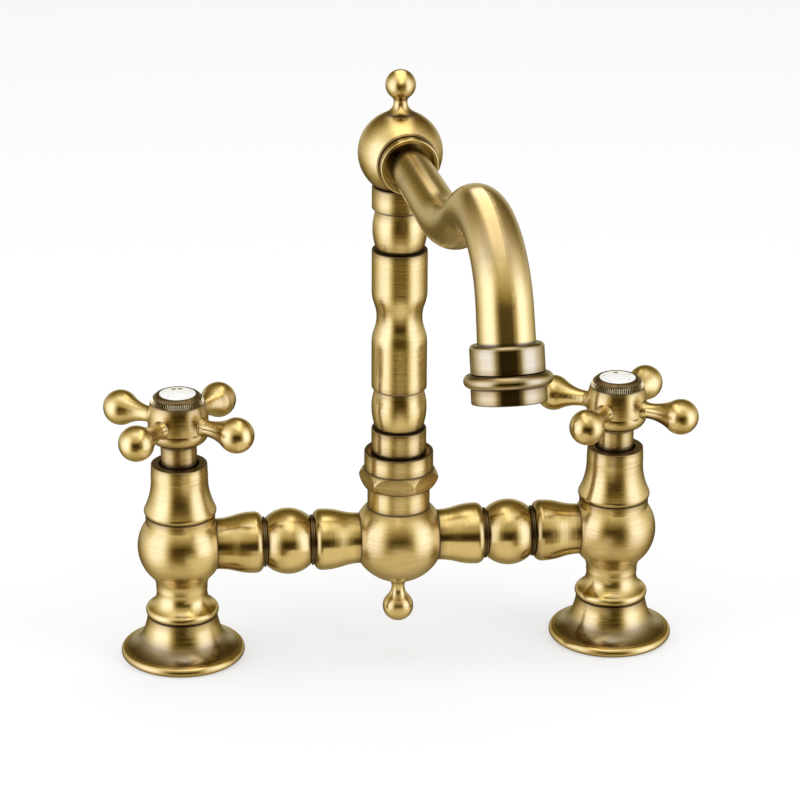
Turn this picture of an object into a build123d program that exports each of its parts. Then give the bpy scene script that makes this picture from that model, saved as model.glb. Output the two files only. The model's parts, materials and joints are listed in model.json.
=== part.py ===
"""Bridge kitchen faucet, millimetres, +Z up.

The origin is midway between the two inlets on the deck. X runs along the bridge, hot at -X and
cold at +X, and the front of the faucet looks along -Y.
"""
import os
from math import atan2, cos, radians, sin, sqrt, tan

from build123d import *

# ---------------------------------------------------------------- clearances
press_gap = 0.05          # radial gap of threads and press fits that stay together
shaft_gap = 0.05          # radial gap of turning fits
free_gap = 0.4            # gap between pieces that pass each other
ring_squeeze = 0.03       # radial gap left outside a fitted sealing ring
swivel_play = 0.1         # end play of the swivel

# ---------------------------------------------------------------- shared edges
edge_round = 0.5          # rounding of turned rims
edge_chamfer = 0.4        # bevel of turned seats

# ---------------------------------------------------------------- layout
inlet_spacing = 200.0     # between the two pillars
bridge_height = 54.0      # deck to the bridge axis
spout_heading = 7.0       # degrees the spout stands turned to the right of the front
hot_handle_heading = 51.5   # degrees from +X to the first arm of the hot handle
cold_handle_heading = 55.5

# ---------------------------------------------------------------- flange and foot
flange_radius = 28.5
flange_rim = 4.0          # height of the rolled rim
flange_rim_round = 1.2
flange_bell_radius = 18.2
flange_bell_height = 11.1
flange_bell_bow = 1.6
flange_neck_radius = 16.0
flange_neck_bow = 0.3
flange_height = 20.2
flange_wall = 2.6
foot_seal_width = 5.0
foot_seal_height = 2.0

# ---------------------------------------------------------------- pillar
foot_ring_radius = 16.8
foot_ring_height = 4.2
foot_ring_round = 1.2
waist_radius = 11.8
waist_height = 8.5        # from the foot ring to the narrowest place
waist_bow = 1.5
waist_length = 1.7        # straight part under the ball's flare
ball_radius = 19.8
shoulder_radius = 15.9
shoulder_height = 16.0    # bridge axis to the seat of the shroud
pillar_thread_radius = 12.5
pillar_thread_height = 6.0
tail_radius = 13.2        # threaded tail inside the flange
inlet_bore_radius = 9.3   # half-inch female thread
inlet_bore_length = 14.0
waterway_radius = 6.5
chamber_radius = 12.0
chamber_drop = 8.0        # chamber floor below the bridge axis
chamber_rise = 8.0        # chamber roof above the bridge axis
bridge_bore_radius = 5.0

# ---------------------------------------------------------------- valve
valve_thread_radius = 10.4
valve_bore_radius = 8.4
seal_height = 3.0
seal_inner_radius = 5.4
disc_thickness = 3.5
disc_port_radius = 2.2
disc_port_offset = 4.8
disc_gap = 0.3            # radial room round the moving disc
window_height = 6.0       # side windows above the discs
window_width = 7.0
valve_flange_radius = 11.4
valve_flange_height = 5.0
valve_neck_radius = 5.6
valve_neck_height = 17.0
spindle_radius = 3.6
spindle_foot_radius = 6.6
spindle_foot_height = 3.0
spindle_reach = 16.0      # spindle standing above the valve neck

# ---------------------------------------------------------------- shroud
shroud_lip_radius = 16.5
shroud_lip_height = 3.0
shroud_lip_round = 0.8
shroud_lip_bow = 0.55
shroud_bell_radius = 16.2
shroud_bell_bow = 1.0
shroud_band_radius = 13.0
shroud_band_height = 6.0
shroud_top_radius = 12.8
shroud_height = 24.8
shroud_mouth_radius = 9.3
shroud_roof = 3.0
shroud_bore_height = 14.9   # height of the bore that screws on the pillar
shroud_throat_radius = 11.3
shroud_throat_drop = 1.5

# ---------------------------------------------------------------- handle
sleeve_radius = 8.2
sleeve_wall = 1.9
sleeve_drop = 12.5        # sleeve below the hub
sleeve_seat = 3.0         # sleeve inside the hub
hub_clearance = 9.6       # shroud top to the hub's underside
hub_radius = 13.6
hub_foot_radius = 9.2
hub_height = 20.2
hub_belly_height = 7.6    # hub's underside to where it is widest
hub_belly_bow = 1.9
hub_band_height = 13.8
hub_band_bow = 0.15
hub_top_radius = 12.2
hub_top_bow = 0.25
arm_height = 10.6         # arms above the hub's underside
arm_collar_radius = 4.3
arm_collar_length = 1.6
arm_seat = 1.1            # depth of the arm's seat in the hub
arm_neck_radius = 3.6
arm_collar_round = 0.3
arm_neck_reach = 15.8     # handle axis to the arm's narrowest place
arm_ball_radius = 8.1
arm_ball_reach = 31.8     # handle axis to the ball's centre
arm_tenon_radius = 2.5
arm_tenon_length = 4.5
arm_count = 4
screw_head_radius = 4.4
screw_head_height = 2.6
screw_radius = 2.0
screw_length = 8.0
screw_slot_width = 1.0
screw_slot_depth = 1.1
index_ring_radius = 12.1
index_ring_height = 3.7
knurl_height = 2.2
knurl_depth = 0.45
knurl_slope = 0.9          # how much the knurled band narrows to its top
knurl_count = 80
index_thread_radius = 10.4
index_thread_depth = 3.6
index_disc_radius = 8.2
index_rim = 0.9           # width of the ring's rim round the disc
index_bevel_bow = 0.25
index_disc_seat = 1.5     # depth of the disc's seat in the ring
index_disc_crown = 0.7    # how far the disc domes out of the ring

# ---------------------------------------------------------------- bridge arms
bridge_end_radius = 11.6
bridge_cone_radius = 14.1
bridge_cone_bow = 1.1
bridge_cone_offset = 15.9   # bead centre to the widest place of a cone
bridge_groove_radius = 10.9
bridge_groove_outer = 11.6  # bead centre to the far side of a groove
bridge_bead_radius = 15.2
bridge_bead_half = 10.3     # half the length of the bead
bridge_ring_radius = 11.7   # thin ring in each groove
bridge_ring_width = 0.5
bridge_spigot_radius = 8.0
bridge_spigot_length = 3.4

# ---------------------------------------------------------------- centre and swivel
centre_radius = 21.3
centre_neck_radius = 14.25
centre_neck_top = 26.3      # bridge axis to the nut's seat
swivel_thread_radius = 13.6
swivel_thread_height = 5.9
spigot_depth = 27.0         # spigot below the swivel flange
centre_floor = 9.0          # chamber floor below the bridge axis
swivel_washer_height = 1.0
swivel_flange_radius = 13.1
swivel_flange_height = 2.4
nut_across_flats = 31.7
nut_turn = 46.8              # degrees from +X to a corner
nut_corner_radius = 18.2
nut_hex_height = 8.2
nut_belt_height = 0.8     # height over which the corners keep their radius
nut_chamfer = 2.3         # how much the corners narrow to both ends
nut_chamfer_bow = 0.25
nut_collar_radius = 15.75
nut_collar_height = 8.5
nut_cup_radius = 14.4
nut_lip_height = 2.2
oring_groove_radius = 7.0
oring_drops = (8.0, 15.0)   # rings below the swivel flange
oring_groove_width = 2.0

# ---------------------------------------------------------------- finials
bottom_finial_radius = 7.1
bottom_finial_drop = 35.0   # bridge axis to the ball's centre
bottom_finial_neck = 3.0
bottom_finial_base = 4.6
bottom_finial_narrow = 4.2  # seat to the narrowest place of the neck
top_finial_radius = 6.7
top_finial_rise = 30.5      # head centre to the ball's centre
top_finial_neck = 3.0
top_finial_base = 5.8
top_finial_narrow = 5.2
finial_tenon_radius = 2.5
finial_tenon_length = 5.0
finial_base_height = 0.5

# ---------------------------------------------------------------- column
column_tube_radius = 8.5
column_bore_radius = 6.0
column_radius = 12.5        # ferrules, sleeve and lower bead
lower_ferrule_height = 16.2
ferrule_round = 1.0
lower_bead_height = 19.1
bead_end_drop = 1.7         # how much a bead narrows to its ends
sleeve_lower_height = 21.6
sleeve_waist_height = 24.6
sleeve_upper_height = 19.5
sleeve_lip = 0.7            # rounding of the sleeve's ends
sleeve_waist_depth = 2.2
upper_bead_height = 18.9
upper_bead_inset = 0.3      # upper bead below the column's radius
upper_ferrule_height = 10.8
tube_in_head = 3.5          # column tube standing in the head's socket

# ---------------------------------------------------------------- head
head_radius = 18.7
head_cavity_radius = 9.5
collar_radius = 13.6
collar_seat = 11.4          # head centre to the collar's seat
collar_step_radius = 12.9
collar_groove_radius = 12.4
collar_base_height = 2.6
collar_groove_height = 0.7
collar_height = 6.9
collar_mouth_radius = 11.4
collar_base_inner = 1.8     # thickness of the base that holds the tube

# ---------------------------------------------------------------- spout
spout_start_radius = 8.8
spout_end_radius = 11.8
spout_wall = 1.3
spout_root = 9.0            # head centre to the tube's inner end
spout_droop = 5.2           # degrees the tube leaves the head below the level
spout_first_run = 67.3      # head centre to the first bend
spout_rise_radius = 69.4
spout_rise = 38.0           # degrees of climb after the first bend
spout_crown_radius = 37.0
spout_fall = 75.1           # degrees below the level at the outlet
spout_last_run = 37.2       # end of the crown to the outlet's mouth

# ---------------------------------------------------------------- outlet, measured up from its mouth
outlet_seat = 1.8           # thread beyond the tube's radius
housing_step = 1.6          # housing beyond the thread
housing_height = 6.5
housing_wall = 2.4
outlet_ring_stand = 2.7     # ring beyond the housing
outlet_ring_height = 5.4
outlet_collar_inset = 0.3   # collar below the housing's radius
outlet_collar_height = 11.6
outlet_collar_round = 1.7
tube_end = 17.6             # mouth to the tube's end
aerator_washer_height = 1.6
aerator_washer_inner = 8.6
aerator_lip = 1.0           # ledge at the mouth that holds the screen
insert_start = 2.2
insert_wall = 2.0
insert_rib_width = 2.0
insert_rib_count = 3
insert_post_radius = 3.2
screen_thickness = 0.8
screen_hole_radius = 0.9
screen_hole_pitch = 2.9
screen_rings = 3
screen_ring_step = 6        # holes added from one ring to the next

# ---------------------------------------------------------------- heights that follow
pillar_x = inlet_spacing / 2
foot_seal_outer = flange_radius - flange_wall - free_gap
foot_seal_inner = foot_seal_outer - foot_seal_width
shroud_seat = bridge_height + shoulder_height
shroud_top = shroud_seat + shroud_height
hub_base = shroud_top + hub_clearance
hub_top = hub_base + hub_height
index_top = hub_top + index_ring_height
valve_floor = bridge_height - chamber_drop
valve_top = shroud_seat + pillar_thread_height
disc_floor = valve_floor + seal_height
window_floor = disc_floor + 2 * disc_thickness
neck_top = bridge_height + centre_neck_top + swivel_thread_height
swivel_base = neck_top + swivel_washer_height
lip_base = swivel_base + swivel_flange_height + swivel_play
ferrule_base = lip_base + nut_lip_height + free_gap
bead_base = ferrule_base + lower_ferrule_height
sleeve_base = bead_base + lower_bead_height
upper_bead_base = sleeve_base + sleeve_lower_height + sleeve_waist_height + sleeve_upper_height
upper_ferrule_base = upper_bead_base + upper_bead_height
collar_lean = radians(spout_droop)
head_seat = (collar_seat + collar_base_height) * sin(collar_lean) + collar_radius * cos(collar_lean)
head_height = upper_ferrule_base + upper_ferrule_height + head_seat
column_hole = column_tube_radius + press_gap
outlet_thread_radius = spout_end_radius + outlet_seat
housing_radius = outlet_thread_radius + housing_step
outlet_ring_radius = housing_radius + outlet_ring_stand
outlet_collar_radius = housing_radius - outlet_collar_inset
housing_thread_top = tube_end - aerator_washer_height


def at(point):
    return (point[0], 0, point[1])


def bow(start, end, depth):
    """Middle point of an arc that bows to the right of the way from start to end."""
    dr = end[0] - start[0]
    dz = end[1] - start[1]
    length = sqrt(dr * dr + dz * dz)
    middle_r = (start[0] + end[0]) / 2 + depth * dz / length
    middle_z = (start[1] + end[1]) / 2 - depth * dr / length
    return (middle_r, middle_z)


def outline(*steps):
    """Closed face in the r-z plane. A step is (r, z), or (r, z, depth) for an arc that ends there."""
    edges = []
    here = steps[0][:2]
    for step in steps[1:] + (steps[0][:2],):
        end = step[:2]
        if len(step) == 3:
            edges.append(ThreePointArc(at(here), at(bow(here, end, step[2])), at(end)))
        else:
            edges.append(Line(at(here), at(end)))
        here = end
    return Face(Wire(edges))


def turned(*steps):
    return revolve(outline(*steps), Axis.Z)


def tangent_depth(dr, dz):
    """Depth of the arc over this step that is along Z at one of its ends."""
    return sqrt(dr * dr + dz * dz) / 2 * tan(atan2(abs(dr), abs(dz)) / 2)


def quarter(size):
    """Depth of a quarter round of this size."""
    return size * (1 - cos(radians(45)))


def eased(start, end):
    """Two arcs from start to end that leave and arrive along Z."""
    middle = ((start[0] + end[0]) / 2, (start[1] + end[1]) / 2)
    depth = tangent_depth(middle[0] - start[0], middle[1] - start[1])
    first = depth if end[0] < start[0] else -depth
    return [(*middle, first), (*end, -first)]


def flared(neck_radius, neck_height, ball_size, ball_height):
    """Arc that leaves a neck along Z and meets a ball smoothly, as the step that ends on the ball."""
    reach = ball_height - neck_height
    flare = (reach ** 2 + neck_radius ** 2 - ball_size ** 2) / (2 * (ball_size - neck_radius))
    share = ball_size / (flare + ball_size)
    end_radius = share * (neck_radius + flare)
    end_height = ball_height - share * reach
    half = sqrt((end_radius - neck_radius) ** 2 + (end_height - neck_height) ** 2) / 2
    depth = flare - sqrt(flare ** 2 - half ** 2)
    return (end_radius, end_height, -depth)


def rod(radius, bottom, top):
    return Pos(0, 0, bottom) * extrude(Circle(radius), top - bottom)


def pipe(outer, inner, bottom, top):
    return Pos(0, 0, bottom) * extrude(Circle(outer) - Circle(inner), top - bottom)


def ball(radius, height):
    return Pos(0, 0, height) * Sphere(radius)


def sphere_height(radius, circle):
    """Distance from a ball's centre to where it is as wide as the circle."""
    return sqrt(radius * radius - circle * circle)


def along_x(shape, start):
    """Turn a shape modelled along +Z to run along +X from start."""
    return Pos(start, 0, 0) * Rot(0, 90, 0) * shape


# ---------------------------------------------------------------- pillar pieces, on the pillar's axis
def make_flange():
    inner = tail_radius + press_gap
    cup = flange_radius - flange_wall
    body = turned(
        (inner, foot_seal_height),
        (cup, foot_seal_height),
        (cup, 0),
        (flange_radius - flange_rim_round, 0),
        (flange_radius - flange_rim_round, flange_rim, flange_rim_round),
        (flange_bell_radius, flange_bell_height, -flange_bell_bow),
        (flange_neck_radius, flange_height, -flange_neck_bow),
        (inner, flange_height),
    )
    return body + pipe(foot_seal_inner - press_gap, inner, 0, foot_seal_height)


def make_foot_seal():
    return pipe(foot_seal_outer, foot_seal_inner, 0, foot_seal_height)


def make_pillar(side):
    ring_top = flange_height + foot_ring_height
    waist = ring_top + waist_height
    flare = flared(waist_radius, waist + waist_length, ball_radius, bridge_height)
    body = turned(
        (0, 0),
        (tail_radius, 0),
        (tail_radius, flange_height),
        (foot_ring_radius - foot_ring_round, flange_height),
        (foot_ring_radius - foot_ring_round, ring_top, foot_ring_round),
        (waist_radius, waist, -waist_bow),
        (waist_radius, waist + waist_length),
        flare,
        (0, flare[1]),
    )
    body += ball(ball_radius, bridge_height)
    body += rod(shoulder_radius, bridge_height, shroud_seat)
    body += rod(pillar_thread_radius, bridge_height, valve_top)
    body -= rod(inlet_bore_radius, 0, inlet_bore_length)
    body -= rod(waterway_radius, 0, valve_floor)
    body -= rod(chamber_radius, valve_floor, bridge_height + chamber_rise)
    body -= rod(valve_thread_radius + press_gap, bridge_height, valve_top)
    return body - bridge_socket(-side, ball_radius, chamber_radius, bridge_height)


def bridge_seat(radius):
    """Distance from a ball's axis to the flat that a bridge arm stands on."""
    return sphere_height(radius, bridge_end_radius)


def bridge_socket(side, radius, hollow, height):
    seat = bridge_seat(radius)
    flat = along_x(rod(bridge_end_radius + press_gap, 0, radius), seat)
    socket_start = seat - bridge_spigot_length - press_gap
    socket = along_x(rod(bridge_spigot_radius + press_gap, 0, radius), socket_start)
    bore = along_x(rod(bridge_bore_radius, 0, radius), 0)
    cut = flat + socket + bore - rod(hollow, -radius, radius)
    return Pos(0, 0, height) * Rot(0, 0, 0 if side > 0 else 180) * cut


def make_seat_seal():
    return pipe(valve_bore_radius - press_gap, seal_inner_radius, valve_floor, disc_floor)


def disc_ports(turn, bottom, top):
    ports = PolarLocations(disc_port_offset, 2, start_angle=turn)
    return [spot * rod(disc_port_radius, bottom, top) for spot in ports]


def make_fixed_disc():
    top = disc_floor + disc_thickness
    disc = rod(valve_bore_radius - press_gap, disc_floor, top)
    return disc - disc_ports(0, disc_floor, top)


def make_moving_disc():
    bottom = disc_floor + disc_thickness
    disc = rod(valve_bore_radius - disc_gap, bottom, window_floor)
    return disc - disc_ports(90, bottom, window_floor)


def make_cartridge():
    neck_base = valve_top + valve_flange_height
    chamber_top = window_floor + window_height
    body = rod(valve_thread_radius, valve_floor, valve_top)
    body += Pos(0, 0, valve_top) * extrude(RegularPolygon(valve_flange_radius, 6), valve_flange_height)
    body += rod(valve_neck_radius, neck_base, neck_base + valve_neck_height)
    body -= rod(valve_bore_radius, valve_floor, chamber_top)
    body -= rod(spindle_radius + shaft_gap, valve_floor, neck_base + valve_neck_height)
    windows = Box(4 * valve_thread_radius, window_width, window_height)
    return body - Pos(0, 0, window_floor + window_height / 2) * windows


def make_spindle():
    foot_top = window_floor + spindle_foot_height
    top = valve_top + valve_flange_height + valve_neck_height + spindle_reach
    body = rod(spindle_foot_radius, window_floor, foot_top)
    body += rod(spindle_radius, foot_top, top)
    body -= disc_ports(90, window_floor, foot_top)
    return body - rod(screw_radius + press_gap, top - screw_length, top)


def make_shroud():
    inner = pillar_thread_radius + press_gap
    roof = shroud_top - shroud_roof
    return turned(
        (inner, shroud_seat),
        (shroud_lip_radius - shroud_lip_round, shroud_seat),
        (shroud_bell_radius, shroud_seat + shroud_lip_height, shroud_lip_bow),
        (shroud_band_radius, shroud_top - shroud_band_height, -shroud_bell_bow),
        (shroud_top_radius, shroud_top - edge_round),
        (shroud_top_radius - edge_round, shroud_top, quarter(edge_round)),
        (shroud_mouth_radius, shroud_top),
        (shroud_mouth_radius, roof),
        (shroud_throat_radius, roof - shroud_throat_drop),
        (inner, shroud_seat + shroud_bore_height),
    )


# ---------------------------------------------------------------- handle pieces, on the pillar's axis
def make_handle_sleeve():
    return pipe(sleeve_radius, sleeve_radius - sleeve_wall, hub_base - sleeve_drop, hub_base + sleeve_seat)


def arm_angles(heading):
    return [heading + 360 / arm_count * number for number in range(arm_count)]


def arm_place(angle):
    return Pos(0, 0, hub_base + arm_height) * Rot(0, 0, angle)


def make_hub(heading):
    spindle_top = valve_top + valve_flange_height + valve_neck_height + spindle_reach
    body = turned(
        (0, hub_base),
        (hub_foot_radius - edge_round, hub_base),
        (hub_foot_radius, hub_base + edge_round, quarter(edge_round)),
        (hub_radius, hub_base + hub_belly_height, hub_belly_bow),
        (hub_radius, hub_base + hub_band_height, hub_band_bow),
        (hub_top_radius, hub_top, hub_top_bow),
        (0, hub_top),
    )
    body -= rod(sleeve_radius + press_gap, hub_base, hub_base + sleeve_seat)
    body -= rod(spindle_radius + press_gap, hub_base, spindle_top)
    body -= rod(screw_radius + press_gap, spindle_top, hub_top)
    body -= rod(screw_head_radius + press_gap, screw_seat(), hub_top)
    body -= rod(index_thread_radius + press_gap, hub_top - index_thread_depth, hub_top)
    seat = hub_radius - arm_seat
    pocket = along_x(rod(arm_collar_radius + press_gap, 0, hub_radius), seat)
    hole = along_x(rod(arm_tenon_radius + press_gap, 0, hub_radius), seat - arm_tenon_length - press_gap)
    for angle in arm_angles(heading):
        body -= arm_place(angle) * (pocket + hole)
    return body


def screw_seat():
    """Height of the shoulder under the handle screw's head."""
    return hub_top - index_thread_depth - screw_head_height - press_gap


def make_arm(angle):
    start = hub_radius - arm_seat
    collar = arm_collar_radius - arm_collar_round
    flare = flared(arm_neck_radius, arm_neck_reach, arm_ball_radius, arm_ball_reach)
    arm = turned(
        (0, start - arm_tenon_length),
        (arm_tenon_radius, start - arm_tenon_length),
        (arm_tenon_radius, start),
        (collar, start),
        (collar, start + arm_collar_length, arm_collar_round),
        (arm_neck_radius, arm_neck_reach),
        flare,
        (0, flare[1]),
    )
    arm += ball(arm_ball_radius, arm_ball_reach)
    return arm_place(angle) * along_x(arm, 0)


def make_handle_screw():
    seat = screw_seat()
    top = seat + screw_head_height
    body = rod(screw_head_radius, seat, top) + rod(screw_radius, seat - screw_length, seat)
    slot = Box(3 * screw_head_radius, screw_slot_width, screw_slot_depth)
    return body - Pos(0, 0, top - screw_slot_depth / 2) * slot


def make_index_ring():
    low = fluted(index_ring_radius, knurl_depth, knurl_count)
    high = fluted(index_ring_radius - knurl_slope, knurl_depth, knurl_count)
    body = Pos(0, 0, hub_top) * loft([low, Pos(0, 0, knurl_height) * high], ruled=True)
    body += turned(
        (0, hub_top - index_thread_depth),
        (index_thread_radius, hub_top - index_thread_depth),
        (index_thread_radius, hub_top + knurl_height),
        (index_ring_radius - knurl_slope - knurl_depth, hub_top + knurl_height),
        (index_disc_radius + index_rim, index_top, index_bevel_bow),
        (0, index_top),
    )
    body -= rod(index_disc_radius + press_gap, index_top - index_disc_seat, index_top)
    return body - rod(screw_head_radius, hub_top - index_thread_depth, index_top)


def fluted(radius, depth, count):
    points = []
    for number in range(2 * count):
        angle = radians(180 * number / count)
        reach = radius - depth * (number % 2)
        points.append((reach * cos(angle), reach * sin(angle)))
    return make_face(Polyline(*points, close=True))


def make_index_disc():
    dome_radius = (index_disc_radius ** 2 + index_disc_crown ** 2) / (2 * index_disc_crown)
    disc = rod(index_disc_radius, index_top - index_disc_seat, index_top + index_disc_crown)
    return disc & ball(dome_radius, index_top + index_disc_crown - dome_radius)


# ---------------------------------------------------------------- bridge
def make_bridge_arm():
    """Arm on +X, turned about the bridge axis, from the centre ball to the pillar's ball."""
    inner = bridge_seat(centre_radius)
    outer = pillar_x - bridge_seat(ball_radius)
    middle = (inner + outer) / 2
    groove = middle + bridge_groove_outer
    cone = middle + bridge_cone_offset
    bead_depth = tangent_depth(bridge_bead_radius - bridge_groove_radius, bridge_bead_half)
    side = turned(
        (bridge_bead_radius, middle),
        (bridge_groove_radius, middle + bridge_bead_half, bead_depth),
        (bridge_groove_radius, groove),
        (bridge_cone_radius, cone, bridge_cone_bow),
        *eased((bridge_cone_radius, cone), (bridge_end_radius, outer)),
        (bridge_spigot_radius, outer),
        (bridge_spigot_radius, outer + bridge_spigot_length),
        (0, outer + bridge_spigot_length),
        (0, middle),
    )
    arm = side + mirror(side, Plane.XY.offset(middle))
    ring_start = middle + (bridge_bead_half + bridge_groove_outer - bridge_ring_width) / 2
    ring = rod(bridge_ring_radius, ring_start, ring_start + bridge_ring_width)
    arm += ring + mirror(ring, Plane.XY.offset(middle))
    arm -= rod(bridge_bore_radius, inner - bridge_spigot_length, outer + bridge_spigot_length)
    return Pos(0, 0, bridge_height) * along_x(arm, 0)


def make_centre_ball():
    hollow = column_tube_radius + shaft_gap
    body = ball(centre_radius, bridge_height)
    body += rod(centre_neck_radius, bridge_height, bridge_height + centre_neck_top)
    body += rod(swivel_thread_radius, bridge_height, neck_top)
    body -= rod(hollow, bridge_height - centre_floor, neck_top)
    for side in (-1, 1):
        body -= bridge_socket(side, centre_radius, hollow, bridge_height)
    seat = finial_seat(centre_radius, bottom_finial_base)
    tenon = finial_tenon_radius + press_gap
    body -= rod(bottom_finial_base + press_gap, bridge_height - 2 * centre_radius, bridge_height - seat)
    return body - rod(tenon, bridge_height - centre_radius, bridge_height - seat + finial_tenon_length)


def finial_seat(radius, base):
    """Distance from a ball's centre to the flat that a finial stands on."""
    return sphere_height(radius, base + press_gap)


def finial(ball_size, neck_radius, narrow, base_radius, reach):
    """Ball on a flared neck, standing on z = 0, with its tenon below."""
    flare = flared(neck_radius, narrow, ball_size, reach)
    shape = turned(
        (0, -finial_tenon_length),
        (finial_tenon_radius, -finial_tenon_length),
        (finial_tenon_radius, 0),
        (base_radius, 0),
        (base_radius, finial_base_height),
        (neck_radius, narrow, -tangent_depth(base_radius - neck_radius, narrow - finial_base_height)),
        flare,
        (0, flare[1]),
    )
    return shape + ball(ball_size, reach)


def make_bottom_finial():
    seat = finial_seat(centre_radius, bottom_finial_base)
    reach = bottom_finial_drop - seat
    shape = finial(bottom_finial_radius, bottom_finial_neck, bottom_finial_narrow, bottom_finial_base, reach)
    return Pos(0, 0, bridge_height - seat) * Rot(180, 0, 0) * shape


def make_swivel_nut():
    bottom = bridge_height + centre_neck_top
    hex_top = bottom + nut_hex_height
    top = hex_top + nut_collar_height
    hexagon = RegularPolygon(nut_across_flats / 2, 6, major_radius=False, rotation=nut_turn)
    body = Pos(0, 0, bottom) * extrude(hexagon, nut_hex_height)
    fall = (nut_hex_height - nut_belt_height) / 2
    body &= turned(
        (0, bottom),
        (nut_corner_radius - nut_chamfer, bottom),
        (nut_corner_radius, bottom + fall, nut_chamfer_bow),
        (nut_corner_radius, hex_top - fall),
        (nut_corner_radius - nut_chamfer, hex_top, nut_chamfer_bow),
        (0, hex_top),
    )
    body += turned(
        (0, bottom),
        (nut_collar_radius, bottom),
        (nut_collar_radius, top - edge_round),
        (nut_collar_radius - edge_round, top, quarter(edge_round)),
        (0, top),
    )
    body -= rod(swivel_thread_radius + press_gap, bottom, lip_base)
    body -= rod(column_tube_radius + free_gap, lip_base, top)
    return body - rod(nut_cup_radius, lip_base + nut_lip_height, top)


def make_swivel_washer():
    return pipe(swivel_flange_radius, column_tube_radius + free_gap, neck_top, swivel_base)


def make_swivel_orings():
    outer = column_tube_radius + shaft_gap - ring_squeeze
    inner = oring_groove_radius
    ring = Torus((outer + inner) / 2, (outer - inner) / 2)
    return Compound(children=[Pos(0, 0, swivel_base - drop) * ring for drop in oring_drops])


# ---------------------------------------------------------------- column
def make_column_tube():
    top = head_height - head_seat + tube_in_head
    body = rod(column_tube_radius, swivel_base - spigot_depth, top)
    body += rod(swivel_flange_radius, swivel_base, swivel_base + swivel_flange_height)
    body -= rod(column_bore_radius, swivel_base - spigot_depth, top)
    for drop in oring_drops:
        middle = swivel_base - drop
        half = oring_groove_width / 2
        body -= pipe(swivel_flange_radius, oring_groove_radius, middle - half, middle + half)
    return body


def make_ferrule(bottom, top):
    return turned(
        (column_hole, bottom),
        (column_radius - edge_chamfer, bottom),
        (column_radius, bottom + edge_chamfer),
        (column_radius, top - ferrule_round),
        (column_radius - ferrule_round, top, quarter(ferrule_round)),
        (column_hole, top),
    )


def make_bead(bottom, top, radius):
    end = radius - bead_end_drop
    return turned(
        (column_hole, bottom),
        (end, bottom),
        (end, top, bead_end_drop),
        (column_hole, top),
    )


def make_column_sleeve():
    waist_base = sleeve_base + sleeve_lower_height
    waist_top = waist_base + sleeve_waist_height
    low = (column_radius, waist_base)
    waist = (column_radius - sleeve_waist_depth, (waist_base + waist_top) / 2)
    high = (column_radius, waist_top)
    lip = sleeve_lip
    return turned(
        (column_hole, sleeve_base),
        (column_radius - lip, sleeve_base),
        (column_radius, sleeve_base + lip, quarter(lip)),
        low,
        *eased(low, waist),
        *eased(waist, high),
        (column_radius, upper_bead_base - lip),
        (column_radius - lip, upper_bead_base, quarter(lip)),
        (column_hole, upper_bead_base),
    )


# ---------------------------------------------------------------- head and spout
def head_frame():
    """Place whose +Z runs out of the head along the spout."""
    return Pos(0, 0, head_height) * Rot(0, 0, spout_heading) * Rot(90 + spout_droop, 0, 0)


def make_head_ball():
    beyond = 2 * head_radius
    body = ball(head_radius, head_height)
    below = head_height - head_seat
    body -= rod(beyond, head_height - beyond, below)
    body -= ball(head_cavity_radius, head_height)
    body -= rod(column_hole, below, below + tube_in_head + press_gap)
    body -= rod(column_bore_radius, below, head_height)
    place = head_frame()
    body -= place * rod(collar_radius + press_gap, collar_seat, beyond)
    body -= place * rod(spout_start_radius + press_gap, 0, beyond)
    seat = head_height + finial_seat(head_radius, top_finial_base)
    body -= rod(top_finial_base + press_gap, seat, head_height + beyond)
    return body - rod(finial_tenon_radius + press_gap, seat - finial_tenon_length, seat)


def make_top_finial():
    seat = finial_seat(head_radius, top_finial_base)
    reach = top_finial_rise - seat
    shape = finial(top_finial_radius, top_finial_neck, top_finial_narrow, top_finial_base, reach)
    return Pos(0, 0, head_height + seat) * shape


def make_spout_collar():
    inner = spout_start_radius + 2 * press_gap
    base_top = collar_seat + collar_base_height
    step = base_top + collar_groove_height
    top = collar_seat + collar_height
    shape = turned(
        (inner, collar_seat),
        (collar_radius, collar_seat),
        (collar_radius, base_top - edge_round),
        (collar_radius - edge_round, base_top, quarter(edge_round)),
        (collar_groove_radius, base_top),
        (collar_groove_radius, step),
        (collar_step_radius, step + edge_chamfer),
        (collar_step_radius, top - edge_round),
        (collar_step_radius - edge_round, top, quarter(edge_round)),
        (collar_mouth_radius, top),
        (collar_mouth_radius, collar_seat + collar_base_inner),
        (inner, collar_seat + collar_base_inner),
    )
    return head_frame() * shape


def turn_end(start, heading, new_heading, radius):
    """Where a bend of this radius ends. A positive radius climbs, a negative one falls."""
    return (
        start[0] + radius * (sin(new_heading) - sin(heading)),
        start[1] - radius * (cos(new_heading) - cos(heading)),
    )


def run_end(start, heading, length):
    return (start[0] + length * cos(heading), start[1] + length * sin(heading))


def spout_points():
    """Points of the centre line in the r-z plane, from the head's centre to the outlet's mouth."""
    droop = radians(-spout_droop)
    climb = radians(spout_rise)
    fall = radians(-spout_fall)
    bend = run_end((0, 0), droop, spout_first_run)
    crest = turn_end(bend, droop, climb, spout_rise_radius)
    drop = turn_end(crest, climb, fall, -spout_crown_radius)
    return {
        "root": run_end((0, 0), droop, spout_root),
        "bend": bend,
        "rise": turn_end(bend, droop, (droop + climb) / 2, spout_rise_radius),
        "crest": crest,
        "crown": turn_end(crest, climb, (climb + fall) / 2, -spout_crown_radius),
        "drop": drop,
        "finish": run_end(drop, fall, spout_last_run - tube_end),
        "mouth": run_end(drop, fall, spout_last_run),
    }


def spout_path():
    points = {name: at(point) for name, point in spout_points().items()}
    return Wire([
        Line(points["root"], points["bend"]),
        ThreePointArc(points["bend"], points["rise"], points["crest"]),
        ThreePointArc(points["crest"], points["crown"], points["drop"]),
        Line(points["drop"], points["finish"]),
    ])


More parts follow.
